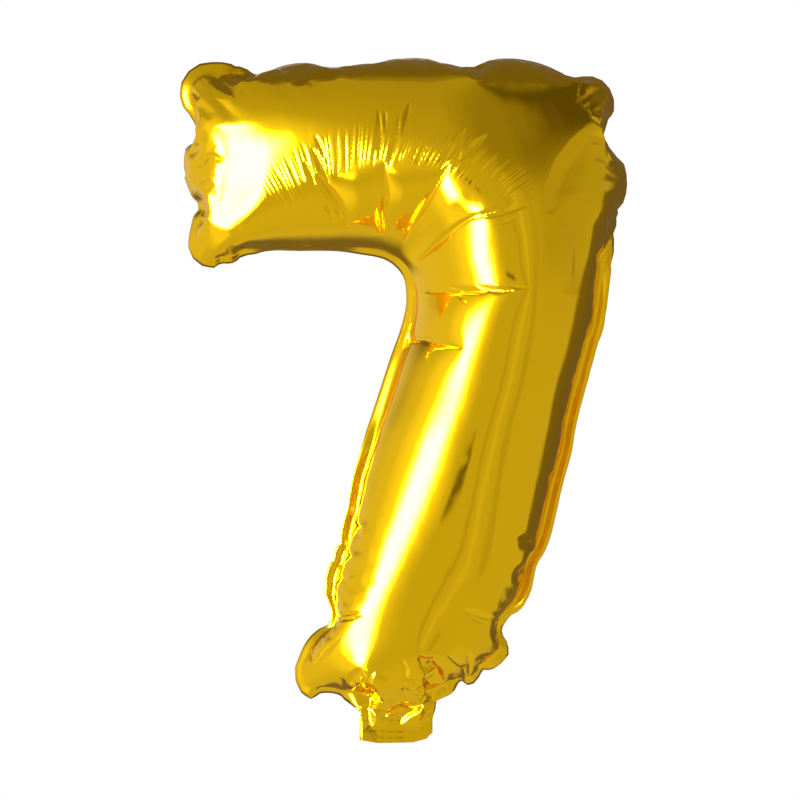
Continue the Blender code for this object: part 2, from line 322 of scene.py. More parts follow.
def with_margin(flat, film, faces, kind, middles):
    """The blown film with its welded margin laid out smoothly from the weld line, as a flat strip."""
    sides = set(map(tuple, sides_of(faces[kind == FRONT]).tolist()))
    ahead = {a: b for a, b in sides if (b, a) not in sides}
    loop = [min(ahead)]
    while ahead[loop[-1]] != loop[0]:
        loop.append(ahead[loop[-1]])
    loop = np.array(loop)
    margin = faces[kind == WELD]
    middle = film[margin].mean(1)
    lean = np.zeros_like(film)
    for corner in range(3):
        np.add.at(lean, margin[:, corner], middle - film[margin[:, corner]])
    lean = smoothed(unit(lean)[loop], MARGIN_SMOOTHING)[:, 1]
    line = smoothed(film[loop], MARGIN_SMOOTHING)
    run = np.roll(line, -1, 0) - np.roll(line, 1, 0)
    away = unit(np.column_stack([run[:, 2], np.zeros(len(loop)), -run[:, 0]]))
    near = 1.0 / (1.0 + np.linalg.norm(flat[loop][:, None, [0, 2]] - middles[None], axis=2)) ** LEAN_REACH
    near = near / near.sum(1, keepdims=True)
    smooth = near @ RIM_SMOOTHING
    film = film.copy()
    film[loop] += smooth[:, None] * (line - film[loop])
    back = near @ np.radians(RIM_LEANS)
    away = away * np.cos(back)[:, None]
    away[:, 1] = np.sin(back) + MARGIN_TILT * lean * np.cos(back)
    run = np.roll(flat[loop], -1, 0) - np.roll(flat[loop], 1, 0)
    flat_away = unit(np.column_stack([run[:, 2], np.zeros(len(loop)), -run[:, 0]]))
    tail_ends = middles[TAIL_CORNERS]
    bottom = open_line_distance(flat[loop][:, [0, 2]], tail_ends) < OPEN_EDGE / 2
    corner = bottom & ~(np.roll(bottom, 1) & np.roll(bottom, -1))
    flat_away = flat_away * MARGIN
    beside = np.sign(flat[loop, 0] - tail_ends[:, 0].mean()) * MARGIN
    tail_side = flat[loop, 2] - np.interp(flat[loop, 0], *tail_ends.T) < TAIL_STRAIGHT
    flat_away[tail_side] = np.column_stack([beside, np.zeros((len(loop), 2))])[tail_side]
    flat_away[bottom] = (0.0, 0.0, -OPEN_EDGE)
    flat_away[corner, 0] = beside[corner]
    away = unit(away) * np.where(bottom, OPEN_EDGE, MARGIN)[:, None]
    body = faces[kind != WELD]
    used, body = np.unique(body, return_inverse=True)
    body = body.reshape(-1, 3)
    last = np.searchsorted(used, loop)
    places, plans, triangles = [film[used]], [flat[used]], [body]
    for row in range(1, MARGIN_ROWS + 1):
        new = len(used) + (row - 1) * len(loop) + np.arange(len(loop))
        places.append(film[loop] + away * row / MARGIN_ROWS)
        plans.append(flat[loop] + flat_away * row / MARGIN_ROWS)
        triangles.append(np.column_stack([last, new, np.roll(new, -1)]))
        triangles.append(np.column_stack([last, np.roll(new, -1), np.roll(last, -1)]))
        last = new
    kinds = [kind[kind != WELD], np.full(2 * MARGIN_ROWS * len(loop), WELD)]
    plans, places, triangles, kinds = map(np.concatenate, (plans, places, triangles, kinds))
    return plans, places, triangles, kinds, last


def rim_points(flat, rim, middles):
    """The rim's points that lie nearest to the rounded corners of the cut."""
    plan = flat[rim][:, [0, 2]]
    return np.array([rim[np.argmin(np.linalg.norm(plan - m, axis=1))] for m in middles])


WARP_EASE = 30.0


def plate(squared):
    return 0.5 * squared * np.log(np.maximum(squared, TINY))


def eased_onto(places, sources, targets):
    """A thin plate bent so that the sources land on the targets, read at all the places."""
    count = len(sources)
    spans = plate(((sources[:, None] - sources[None]) ** 2).sum(-1)) + WARP_EASE * np.eye(count)
    lever = np.column_stack([np.ones(count), sources])
    system = np.block([[spans, lever], [lever.T, np.zeros((3, 3))]])
    weights = np.linalg.solve(system, np.concatenate([targets, np.zeros((3, 2))]))
    pulls = plate(((places[:, None] - sources[None]) ** 2).sum(-1))
    return pulls @ weights[:count] + np.column_stack([np.ones(len(places)), places]) @ weights[count:]


def open_line_distance(points, line):
    nearest = np.full(len(points), np.inf)
    for a, b in zip(line[:-1], line[1:]):
        along = np.clip((points - a) @ (b - a) / ((b - a) @ (b - a)), 0.0, 1.0)
        nearest = np.minimum(nearest, np.linalg.norm(points - a - along[:, None] * (b - a), axis=1))
    return nearest


TRIAL_STEP = 6.0
TRIAL_ROUNDS = 6
TRIAL_FRAMES = 40
TRIAL_GAIN = 0.85
TRIAL_LIMIT = 14.0
TRIAL_STIFFNESS = 0.5

ahead = np.roll(RIM_PLACES, -1, 0) - np.roll(RIM_PLACES, 1, 0)
outwards = np.column_stack([ahead[:, 1], -ahead[:, 0]]) / np.linalg.norm(ahead, axis=1)[:, None]
in_neck = np.array([name in NECK_NAMES for name in RIM_NAMES])
cut_corners = RIM_PLACES + outwards * np.where(in_neck, -MARGIN, FIRST_GROWTH)[:, None]
cut_corners[in_neck, 1] -= NECK_DROP
for trial in range(TRIAL_ROUNDS):
    flat, faces, kind, middles = flat_sheets(cut_corners, TRIAL_STEP)
    channel_top = cut_corners[NECK_LEFT, 1]
    film = swell(flat, flat, faces, kind, TRIAL_FRAMES, TRIAL_STIFFNESS, channel_top)
    flat, film, faces, kind, rim = with_margin(flat, film, faces, kind, middles)
    reached = film[rim_points(flat, rim, middles)][:, [0, 2]]
    turn, centre, goal = turned_onto(reached, RIM_PLACES)
    missed = RIM_PLACES - ((reached - centre) @ turn.T + goal)
    print("trial", trial, "rim misses by mm", np.sqrt((missed**2).sum(1).mean()).round(2))
    shift = np.clip(TRIAL_GAIN * missed @ turn, -TRIAL_LIMIT, TRIAL_LIMIT)
    shift[in_neck] = shift[in_neck].mean(0)
    cut_corners = cut_corners + shift

# The two foil sheets: plastic film, gold outside and silver inside, welded and blown up, first on
# a coarse mesh and then on a fine one that takes up the puckers of the weld. The folds of the bend
# are laid in after that. Each sheet runs through the gathered neck into the flat tail.
FILM_STEP = 4.6
FILM_FRAMES = 40
FILM_STIFFNESS = 0.5
FINE_FRAMES = 16
FINE_STIFFNESS = 0.2
flat, faces, kind, middles = flat_sheets(cut_corners, FILM_STEP)
channel_top = cut_corners[NECK_LEFT, 1]
film = swell(flat, flat, faces, kind, FILM_FRAMES, FILM_STIFFNESS, channel_top)
faces, kind, (flat, film) = halved(faces, kind, flat, film)
film = swell(flat, film, faces, kind, FINE_FRAMES, FINE_STIFFNESS, channel_top)

flat, film, faces, kind, rim = with_margin(flat, film, faces, kind, middles)
# The blown film is levelled on its weld line, turned onto the rim and eased over what it still misses.
on_front, on_back = (np.isin(np.arange(len(film)), faces[kind == sheet]) for sheet in (FRONT, BACK))
weld_line = on_front & on_back
level = np.column_stack([np.ones(weld_line.sum()), film[weld_line][:, [0, 2]]])
tilt = np.linalg.lstsq(level, film[weld_line, 1], rcond=None)[0]
film[:, 1] -= np.column_stack([np.ones(len(film)), film[:, [0, 2]]]) @ tilt

marks = rim_points(flat, rim, middles)
turn, centre, goal = turned_onto(film[marks][:, [0, 2]], RIM_PLACES)
film[:, [0, 2]] = (film[:, [0, 2]] - centre) @ turn.T + goal
film[:, [0, 2]] = eased_onto(film[:, [0, 2]], film[marks][:, [0, 2]], RIM_PLACES)
missed = RIM_PLACES - film[marks][:, [0, 2]]
print("film", len(film), "points, rim misses by mm", np.sqrt((missed**2).sum(1).mean()).round(2))


def eased(value, low, high):
    share = np.clip((value - low) / (high - low), 0.0, 1.0)
    return share * share * (3.0 - 2.0 * share)


# A pinch on each side draws the film in just above the lobes of the foot.
PINCHES = {"left": ((-40.5, 58.0), (-33.5, 58.0)), "right": ((61.5, 51.0), (54.5, 52.5))}
PINCH_REACH = 9.0
for start, end in PINCHES.values():
    near = np.exp(-((film[:, [0, 2]] - start) ** 2).sum(1) / PINCH_REACH**2)
    film[:, [0, 2]] += near[:, None] * np.subtract(end, start)

# The tail is laid out flat above its bottom edge, and gathered into the neck.
TAIL_HALF = 18.6
TAIL_BOTTOM = ((-18.6, -6.4), (-9.2, -8.0), (9.6, -7.6), (18.6, -4.8))
TAIL_TOP = 9.0
NECK_GATHER = 22.0
tail_ends = middles[TAIL_CORNERS]
across = (flat[:, 0] - tail_ends[:, 0].mean()) / (np.ptp(tail_ends[:, 0]) / 2 + MARGIN) * TAIL_HALF
across = np.clip(across, -TAIL_HALF, TAIL_HALF)
tail_line = np.interp(flat[:, 0], *tail_ends.T)
above = np.maximum(flat[:, 2] - tail_line + OPEN_EDGE, 0.0)
laid = np.column_stack([across, np.interp(across, *np.transpose(TAIL_BOTTOM)) + above])
in_tail = np.abs(flat[:, 0] - tail_ends[:, 0].mean()) < np.ptp(tail_ends[:, 0])
tail_share = np.where(in_tail, 1.0 - eased(above, TAIL_TOP, NECK_GATHER), 0.0)
film[:, [0, 2]] += tail_share[:, None] * (laid - film[:, [0, 2]])

# The neck opens out slowly above the tail, whose margin lies in the plane of the weld.
NECK_TOP = 30.0
NECK_SWELL = 30.0
NECK_POWER = 1.5
NECK_ROOM = 0.9
TAIL_ROOM = 0.3
ROOM_HEIGHTS = (-1.0, 3.0)
EDGE_HEIGHTS = (-1.0, 12.0)


def neck_room(heights):
    """How far each sheet keeps off the middle of the neck and the tail, to leave room for the valve."""
    return TAIL_ROOM + (NECK_ROOM - TAIL_ROOM) * eased(heights, *ROOM_HEIGHTS)


for own, side in ((on_front & ~weld_line, -1.0), (on_back & ~weld_line, 1.0)):
    depth = np.maximum(film[own, 1] * side, 0.0)
    height = np.clip(film[own, 2] / NECK_TOP, 0.0, 1.0)
    room = neck_room(film[own, 2])
    depth = np.where(height < 1.0, np.clip(depth, room, room + NECK_SWELL * height**NECK_POWER), depth)
    film[own, 1] = depth * side
at_edge = ~(on_front ^ on_back)
film[at_edge, 1] *= eased(film[at_edge, 2], *EDGE_HEIGHTS)

# The folds, leaves and kinks as lines on the front sheet, and where the comb of fine wrinkles lies.
BACK_SHIFT = (-6.0, 5.0)
COARSE_REACH = 4.0
FINE_REACH = 1.4
CURVED_SHARE = 0.5
COMB_CENTRE = (-25.0, 213.4)
COMB_RADIUS = 82.0
COMB_SPREAD = 24.0
COMB_HALF = 9.0
COMB_FADE = 4.0
COMB_MIDDLE = math.radians(80.0)
COMB_HALF_TURN = math.radians(45.0)
COMB_TURN_FADE = math.radians(8.0)
NECK_BOX = (24.0, 32.0)
FOLDS = {
    "arm": ((-23.6, 256.1), (-29.1, 264.6), (-35.1, 274.0), (-40.6, 282.4)),
    "arm_leaf_right": ((-34.2, 276.5), (-43.2, 295.6)),
    "arm_leaf_top": ((-36.4, 290.1), (-41.5, 302.0)),
    "arm_leaf_left": ((-41.5, 276.5), (-47.4, 288.8)),
    "arm_foot_left": ((-32.5, 259.5), (-38.1, 266.3)),
    "arm_foot_right": ((-27.9, 259.1), (-33.0, 265.5)),
    "top": ((-5.8, 251.0), (-6.6, 259.5), (-6.5, 273.1), (-6.6, 281.6), (-6.2, 288.4)),
    "top_leaf_left": ((-8.9, 289.3), (-9.1, 302.9), (-9.2, 316.5)),
    "top_leaf_middle": ((-6.2, 302.9), (-5.8, 314.8)),
    "top_leaf_right": ((-4.1, 285.9), (-1.5, 296.9), (1.7, 313.1)),
    "top_leaf_far": ((2.3, 302.0), (4.4, 310.5), (7.0, 319.0)),
    "top_foot": ((-8.3, 251.9), (-10.2, 264.6)),
    "corner": ((3.6, 247.2), (6.6, 254.4), (10.8, 261.2), (18.5, 274.8), (22.3, 280.8), (27.8, 288.4)),
    "corner_leaf_left": ((21.9, 284.6), (28.7, 296.1), (35.0, 305.8)),
    "corner_leaf_middle": ((27.8, 283.7), (33.3, 294.4)),
    "corner_leaf_right": ((31.6, 288.4), (38.9, 296.9), (46.1, 302.9)),
    "shoulder": ((8.7, 236.1), (17.6, 245.1), (24.4, 251.0), (32.9, 257.4), (38.9, 260.8), (45.7, 263.3)),
    "shoulder_leaf_inner": ((37.2, 258.7), (45.7, 262.9), (53.7, 264.2)),
    "shoulder_leaf_outer": ((44.0, 259.5), (55.9, 263.8), (66.9, 266.7)),
    "shoulder_leaf_low": ((53.3, 257.0), (61.8, 260.8)),
    "stem_leaf_inner": ((13.4, 222.5), (23.6, 223.4), (32.9, 221.7)),
    "stem_leaf_bright": ((25.3, 225.1), (36.3, 223.4), (47.4, 222.5)),
    "stem_leaf_outer": ((40.6, 225.5), (50.8, 223.4), (60.5, 223.0)),
    "stem_leaf_far": ((56.7, 225.5), (68.2, 224.2)),
    "stem_leaf_low": ((30.8, 220.8), (35.5, 217.2)),
    "lower": ((-2.0, 198.3), (12.5, 199.0), (19.7, 197.0), (34.6, 193.6)),
    "foot_left_upper": ((-34.0, 57.8), (-18.4, 59.0)),
    "foot_left_lower": ((-33.0, 55.3), (-17.2, 57.0)),
    "foot_right_upper": ((33.8, 60.2), (51.7, 54.5)),
    "foot_right_lower": ((37.1, 57.0), (46.0, 52.9)),
    "foot_wing": ((-28.5, 45.2), (-41.9, 31.8)),
    "neck_tongue_right": ((3.1, 35.5), (5.9, 29.0), (5.1, 17.7), (3.1, 11.6)),
    "neck_tongue_left": ((-10.7, 29.0), (-13.9, 22.5), (-10.7, 14.4)),
    "neck_facet": ((7.9, 27.4), (14.0, 16.5)),
    "neck_triangle_top": ((20.9, 19.3), (11.2, 12.0)),
    "neck_triangle_side": ((11.2, 12.0), (18.9, 7.1)),
    "neck_arch": ((-7.5, 5.5), (2.3, 11.6), (11.2, 10.4), (14.0, 5.5)),
    "neck_ridge": ((12.0, 41.2), (16.0, 25.8)),
    "neck_notch": ((25.7, 37.9), (35.9, 29.8)),
    "neck_leaf": ((-17.2, 26.6), (-14.4, 18.5)),
    "stem_dip": ((11.0, 221.5), (34.0, 222.5), (52.0, 223.0), (68.0, 224.2)),
    "cap_left": ((94.3, 330.2), (95.1, 322.3), (100.2, 311.4)),
    "cap_low": ((98.5, 312.5), (110.5, 304.5)),
    "panel_edge": ((100.4, 310.3), (88.7, 299.6), (81.0, 289.4), (75.9, 276.7), (74.4, 262.4)),
    "panel_pillow": ((76.6, 262.9), (85.3, 254.2), (86.3, 241.2), (84.5, 222.0)),
    "end_crease": ((-93.4, 306.7), (-91.9, 286.9), (-93.9, 274.1), (-100.0, 260.9)),
    "ear": ((-100.5, 324.6), (-88.8, 320.5), (-78.6, 325.2)),
}
LONG_FOLDS = ("arm", "top", "corner", "shoulder", "lower")
DIPS_ALONE = ("stem_dip",)
DIPS = LONG_FOLDS + DIPS_ALONE
LONG_DEPTH = 1.3
LEAF_DEPTH = 1.0
LEAF_SHARE = 0.075
LEAF_MOST = 1.5
LEAF_LEAST = 1e-6
LEAF_SHOULDER = 0.15
FOLD_WIDTH = 1.1
DIP_DEPTH = 2.2
DIP_WIDTH = 8.0
KINKS = ("panel_edge", "panel_pillow", "end_crease", "ear")
KINK_DEPTH = 1.5
KINK_PEAK = 7.0
KINK_WIDTH = 28.0


def as_seen(places):
    """Where each point shows on the weld plane, seen from the view's distance before its own sheet."""
    centre = np.array((VIEW_CENTRE[0], VIEW_CENTRE[2])) / MM
    nearer = VIEW_DISTANCE / MM - np.abs(places[:, 1])
    return centre + (places[:, [0, 2]] - centre) * (VIEW_DISTANCE / MM / nearer)[:, None]


def fold_lines(sheet):
    shift = np.zeros(2) if sheet == FRONT else np.array(BACK_SHIFT)
    return {name: np.array(line) + shift for name, line in FOLDS.items()}


def along_line(points, line):
    """Each point's share of the way along a line, its signed distance from it, and the line's length."""
    lengths = np.linalg.norm(np.diff(line, axis=0), axis=1)
    starts = np.concatenate([[0.0], np.cumsum(lengths)])
    share = np.zeros(len(points))
    offset = np.full(len(points), np.inf)
    for a, b, start, length in zip(line[:-1], line[1:], starts, lengths):
        step = np.clip((points - a) @ (b - a) / length**2, 0.0, 1.0)
        gap = points - a - step[:, None] * (b - a)
        side = np.sign((b - a)[0] * gap[:, 1] - (b - a)[1] * gap[:, 0])
        distance = np.linalg.norm(gap, axis=1)
        nearer = distance < np.abs(offset)
        offset[nearer] = (distance * np.where(side == 0.0, 1.0, side))[nearer]
        share[nearer] = ((start + step * length) / starts[-1])[nearer]
    return share, offset, starts[-1]


def fold_depth(points, name, line):
    """How far a fold draws the film in: a crease with a narrow leaf that lies over it, or a kink."""
    share, offset, length = along_line(points, line)
    along = np.sin(np.pi * share)
    if name in KINKS:
        sinking = np.clip(offset / KINK_PEAK, 0.0, 1.0)
        rising = 1.0 - eased(offset, KINK_PEAK, KINK_WIDTH)
        return KINK_DEPTH * np.sqrt(along) * np.minimum(sinking, rising)
    depth = (LONG_DEPTH if name in LONG_FOLDS else LEAF_DEPTH) * np.sqrt(along)
    leaf = min(LEAF_SHARE * length, LEAF_MOST) * along
    outside = np.abs(offset) - leaf
    wall = np.where(offset < 0.0, 1.0, LEAF_SHOULDER) * np.clip(1.0 - outside / FOLD_WIDTH, 0.0, 1.0) ** 2
    floor = 1.0 - (1.0 - LEAF_SHOULDER) * (offset + leaf) / np.maximum(2.0 * leaf, LEAF_LEAST)
    return depth * np.where(outside > 0.0, wall, floor)


def dip_depth(points, line):
    """How far the film on both sides of a fold sinks towards it, so that it bulges between the folds."""
    share, offset, length = along_line(points, line)
    return DIP_DEPTH * np.sin(np.pi * share) * np.exp(-np.abs(offset) / DIP_WIDTH)


def refined(flat, film, faces, kind, wanted):
    """Every triangle with a wanted corner split in four on the curved film, and its neighbours to fit."""
    pairs = np.sort(faces[:, [[0, 1], [1, 2], [2, 0]]], axis=2)
    sides, at = np.unique(pairs.reshape(-1, 2), axis=0, return_inverse=True)
    at = at.reshape(-1, 3)
    split = np.zeros(len(sides), bool)
    split[at[wanted[faces].any(1)]] = True
    while (split[at].sum(1) == 2).any():
        split[at[split[at].sum(1) == 2]] = True
    middle = len(film) + np.cumsum(split) - 1
    count = split[at].sum(1)
    whole, once, fully = count == 0, count == 1, count == 3
    first = np.argmax(split[at[once]], axis=1)
    a, b, c = np.take_along_axis(faces[once], (first[:, None] + np.arange(3)) % 3, 1).T
    new = middle[np.take_along_axis(at[once], first[:, None], 1)[:, 0]]
    halves = [np.column_stack([a, new, c]), np.column_stack([new, b, c])]
    a, b, c = faces[fully].T
    ab, bc, ca = middle[at[fully]].T
    quarters = [np.column_stack(t) for t in ((a, ab, ca), (ab, b, bc), (ca, bc, c), (ab, bc, ca))]
    triangles = np.concatenate([faces[whole]] + halves + quarters)
    kinds = np.concatenate([kind[whole]] + [kind[once]] * 2 + [kind[fully]] * 4)
    ends = sides[split]
    swollen = kind != WELD
    outward = facing(film, faces[swollen])
    outward[np.intersect1d(faces[kind == FRONT], faces[kind == BACK])] = 0.0
    outward[np.setdiff1d(faces[~swollen], faces[swollen])] = 0.0
    middles = film[ends].mean(1)
    flat_end = (outward[ends] == 0.0).all(2).any(1)
    for end in (0, 1):
        start = film[ends[:, end]]
        above = ((film[ends].mean(1) - start) * outward[ends[:, end]]).sum(1)
        above[flat_end] = 0.0
        middles -= CURVED_SHARE / 2 * above[:, None] * outward[ends[:, end]]
    return np.concatenate([flat, flat[ends].mean(1)]), np.concatenate([film, middles]), triangles, kinds


# The bend is smoothed, the mesh is refined along the folds and the comb, and the folds are laid in.
EASE_CENTRE = (14.0, 240.0)
EASE_FULL = 62.0
EASE_END = 92.0
EASE_ROUNDS = 40
for sheet in (FRONT, BACK):
    own = faces[kind == sheet]
    pairs = np.unique(sides_of(own), axis=0)
    pairs = np.unique(np.concatenate([pairs, pairs[:, ::-1]]), axis=0)
    joined = np.bincount(pairs[:, 0], minlength=len(film))
    pull = 1.0 - eased(np.linalg.norm(film[:, [0, 2]] - EASE_CENTRE, axis=1), EASE_FULL, EASE_END)
    pull[np.intersect1d(own, faces[kind == WELD])] = 0.0
    pull[joined == 0] = 0.0
    for turn in range(EASE_ROUNDS):
        sums = [np.bincount(pairs[:, 0], film[pairs[:, 1], axis], len(film)) for axis in range(3)]
        means = np.column_stack(sums) / np.maximum(joined, 1)[:, None]
        film += pull[:, None] * (means - film)
for reach, sheets in ((COARSE_REACH, (FRONT, BACK)), (FINE_REACH, (FRONT,))):
    wanted = np.zeros(len(film), bool)
    for sheet in sheets:
        own = np.setdiff1d(faces[kind == sheet], faces[kind == WELD])
        seen = as_seen(film[own])
        for line in fold_lines(sheet).values():
            wanted[own] |= open_line_distance(seen, line) < reach
        if reach == COARSE_REACH:
            wanted[own] |= (np.abs(seen[:, 0]) < NECK_BOX[0]) & (seen[:, 1] < NECK_BOX[1])
        if sheet == FRONT:
            spoke = seen - COMB_CENTRE
            angle = np.arctan2(spoke[:, 1], spoke[:, 0])
            band = np.linalg.norm(spoke, axis=1) - COMB_RADIUS - COMB_SPREAD * (math.pi / 2 - angle)
            turned = np.abs(angle - COMB_MIDDLE) < COMB_HALF_TURN + COMB_TURN_FADE
            wanted[own] |= (np.abs(band) < COMB_HALF + COMB_FADE / 2) & turned
    flat, film, faces, kind = refined(flat, film, faces, kind, wanted)
outward = facing(film, faces[kind != WELD])
shared = np.intersect1d(faces[kind == FRONT], faces[kind == BACK])
for sheet in (FRONT, BACK):
    own = np.setdiff1d(faces[kind == sheet], shared)
    seen = as_seen(film[own])
    drawn = np.zeros(len(own))
    sunk = np.zeros(len(own))
    for name, line in fold_lines(sheet).items():
        if name in DIPS:
            sunk = np.maximum(sunk, dip_depth(seen, line))
        if name not in DIPS_ALONE:
            drawn = np.maximum(drawn, fold_depth(seen, name, line))
    film[own] -= outward[own] * (drawn + sunk)[:, None]
    low = own[film[own, 2] < NECK_TOP]
    side = -1.0 if sheet == FRONT else 1.0
    film[low, 1] = side * np.maximum(film[low, 1] * side, neck_room(film[low, 2]))
print("folded film", len(film), "points,", (kind == FRONT).sum(), "front triangles")

# Both sheets use the margin's mesh, and each stands off it by half of the weld's gap.
WELD_HALF = 0.2
FILM_THICKNESS = 0.12

margin_faces = faces[kind == WELD]
forwards = square_on(flat, margin_faces)[:, 1:2] < 0.0
margin_faces = np.where(forwards, margin_faces, margin_faces[:, ::-1])
margin_facing = facing(film, margin_faces)
margin_facing[np.setdiff1d(shared, margin_faces)] = (0.0, -1.0, 0.0)


def group_socket(tree, name, kind, value=None, way="INPUT"):
    socket = tree.interface.new_socket(name=name, in_out=way, socket_type=kind)
    if value is not None:
        socket.default_value = value
    return socket


def worked(tree, kind, *values):
    """A Math node with values or links on its inputs."""
    node = tree.nodes.new("ShaderNodeMath")
    node.operation = kind
    for socket, value in zip(node.inputs, values):
        if isinstance(value, bpy.types.NodeSocket):
            tree.links.new(value, socket)
        else:
            socket.default_value = value
    return node.outputs["Value"]


def faded(tree, offset, half, softness):
    """1 well inside a half size and 0 well outside it."""
    node = tree.nodes.new("ShaderNodeMapRange")
    node.interpolation_type = "SMOOTHSTEP"
    tree.links.new(worked(tree, "ABSOLUTE", offset), node.inputs["Value"])
    tree.links.new(worked(tree, "SUBTRACT", half, softness), node.inputs["From Min"])
    tree.links.new(worked(tree, "ADD", half, softness), node.inputs["From Max"])
    node.inputs["To Min"].default_value = 1.0
    node.inputs["To Max"].default_value = 0.0
    return node.outputs["Result"]


MIX_COLOURS = (6, 7)
MIX_RESULT = 2


def toned(tree, share, colours):
    """A colour between two others, on the Mix node's colour sockets."""
    mix = tree.nodes.new("ShaderNodeMix")
    mix.data_type = "RGBA"
    tree.links.new(share, mix.inputs["Factor"])
    for socket, colour in zip(MIX_COLOURS, colours):
        mix.inputs[socket].default_value = colour
    return mix.outputs[MIX_RESULT]


def spread(tree, share, limits):
    """A share from 0 to 1 laid between two limits."""
    laid = tree.nodes.new("ShaderNodeMapRange")
    tree.links.new(share, laid.inputs["Value"])
    laid.inputs["To Min"].default_value, laid.inputs["To Max"].default_value = limits
    return laid.outputs["Result"]


def clouds(tree, grain):
    """Soft noise over an object."""
    place = tree.nodes.new("ShaderNodeTexCoord")
    noise = tree.nodes.new("ShaderNodeTexNoise")
    noise.inputs["Scale"].default_value = grain
    tree.links.new(place.outputs["Object"], noise.inputs["Vector"])
    return noise.outputs[0]


def new_material(name):
    material = bpy.data.materials.new(name)
    material.use_nodes = True
    return material, material.node_tree, material.node_tree.nodes["Principled BSDF"]


# Faint waves and changes of tone along the film, which its gold and its silver side share.
RIPPLE_GRAIN = 60.0
RIPPLE_STRETCH = 0.3
RIPPLE_DETAIL = 2.0
TONE_SHARE = 0.25
ripple_group = bpy.data.node_groups.new("film_ripple", "ShaderNodeTree")
group_socket(ripple_group, "Flat Cut", "NodeSocketVector")
group_socket(ripple_group, "Grain", "NodeSocketFloat", RIPPLE_GRAIN)
group_socket(ripple_group, "Stretch", "NodeSocketFloat", RIPPLE_STRETCH)
group_socket(ripple_group, "Height", "NodeSocketFloat", way="OUTPUT")
group_socket(ripple_group, "Tone", "NodeSocketFloat", way="OUTPUT")
given = ripple_group.nodes.new("NodeGroupInput").outputs
taken = ripple_group.nodes.new("NodeGroupOutput").inputs
cut_parts = ripple_group.nodes.new("ShaderNodeSeparateXYZ")
ripple_group.links.new(given["Flat Cut"], cut_parts.inputs["Vector"])
drawn_out = ripple_group.nodes.new("ShaderNodeCombineXYZ")
ripple_group.links.new(cut_parts.outputs["X"], drawn_out.inputs["X"])
shortened = worked(ripple_group, "MULTIPLY", cut_parts.outputs["Y"], given["Stretch"])
ripple_group.links.new(shortened, drawn_out.inputs["Y"])
for name, share in (("Height", 1.0), ("Tone", TONE_SHARE)):
    waves = ripple_group.nodes.new("ShaderNodeTexNoise")
    waves.inputs["Detail"].default_value = RIPPLE_DETAIL
    ripple_group.links.new(drawn_out.outputs["Vector"], waves.inputs["Vector"])
    ripple_group.links.new(worked(ripple_group, "MULTIPLY", given["Grain"], share), waves.inputs["Scale"])
    ripple_group.links.new(waves.outputs[0], taken[name])


def rippled(tree, shader, colours, roughness, height):
    """A film's tone, gloss and fine waves, all read from its flat cut."""
    cut = tree.nodes.new("ShaderNodeUVMap")
    cut.uv_map = "flat_cut"
    ripple = tree.nodes.new("ShaderNodeGroup")
    ripple.node_tree = ripple_group
    tree.links.new(cut.outputs["UV"], ripple.inputs["Flat Cut"])
    tree.links.new(toned(tree, ripple.outputs["Tone"], colours), shader.inputs["Base Color"])
    tree.links.new(spread(tree, ripple.outputs["Tone"], roughness), shader.inputs["Roughness"])
    bump = tree.nodes.new("ShaderNodeBump")
    bump.inputs["Distance"].default_value = height * MM
    tree.links.new(ripple.outputs["Height"], bump.inputs["Height"])
    tree.links.new(bump.outputs["Normal"], shader.inputs["Normal"])


WAVE_HEIGHT = 0.25
GOLDS = ((0.97, 0.585, 0.002, 1.0), (0.93, 0.54, 0.002, 1.0))
GOLD_EDGE = (1.0, 0.9, 0.7, 1.0)
GOLD_ROUGHNESS = (0.06, 0.12)
LACQUER = 0.1
LACQUER_ROUGHNESS = 0.04
foil, tree, shader = new_material("gold_foil")
shader.inputs["Metallic"].default_value = 1.0
shader.inputs["Specular Tint"].default_value = GOLD_EDGE
shader.inputs["Coat Weight"].default_value = LACQUER
shader.inputs["Coat Roughness"].default_value = LACQUER_ROUGHNESS
rippled(tree, shader, GOLDS, GOLD_ROUGHNESS, WAVE_HEIGHT)

SILVERS = ((0.78, 0.78, 0.77, 1.0), (0.70, 0.70, 0.69, 1.0))
SILVER_ROUGHNESS = (0.2, 0.3)
lining, tree, shader = new_material("silver_lining")
shader.inputs["Metallic"].default_value = 1.0
rippled(tree, shader, SILVERS, SILVER_ROUGHNESS, WAVE_HEIGHT)

# The comb of fine wrinkles over the bend and the crumpled facets of the neck.
COMB_TEETH = 206
COMB_DEPTH = 0.32
COMB_JITTER = 9.0
COMB_CHANGE = 22.0
COMB_SHIFT = 0.06
COMB_LEAST = 0.3
COMB_SHARPNESS = 2.0
CRUMPLE_DEPTH = 1.8
CRUMPLE_GRAIN = 105.0
CRUMPLE_PLACE = (0.0, 17.0)
CRUMPLE_HALF = (19.0, 12.0)
CRUMPLE_FADE = 4.0
finish_tree = bpy.data.node_groups.new("film_finish", "GeometryNodeTree")
group_socket(finish_tree, "Sheet", "NodeSocketGeometry")
group_socket(finish_tree, "Comb Depth", "NodeSocketFloat", 0.0)
group_socket(finish_tree, "Crumple Depth", "NodeSocketFloat", 0.0)
group_socket(finish_tree, "Film", "NodeSocketMaterial")
group_socket(finish_tree, "Sheet", "NodeSocketGeometry", way="OUTPUT")
given = finish_tree.nodes.new("NodeGroupInput").outputs
taken = finish_tree.nodes.new("NodeGroupOutput").inputs
spot = finish_tree.nodes.new("GeometryNodeInputPosition")
spot_parts = finish_tree.nodes.new("ShaderNodeSeparateXYZ")
finish_tree.links.new(spot.outputs["Position"], spot_parts.inputs["Vector"])
off_plane = worked(finish_tree, "ABSOLUTE", spot_parts.outputs["Y"])
nearer = worked(finish_tree, "SUBTRACT", VIEW_DISTANCE, off_plane)
larger = worked(finish_tree, "DIVIDE", VIEW_DISTANCE, nearer)
spokes = []
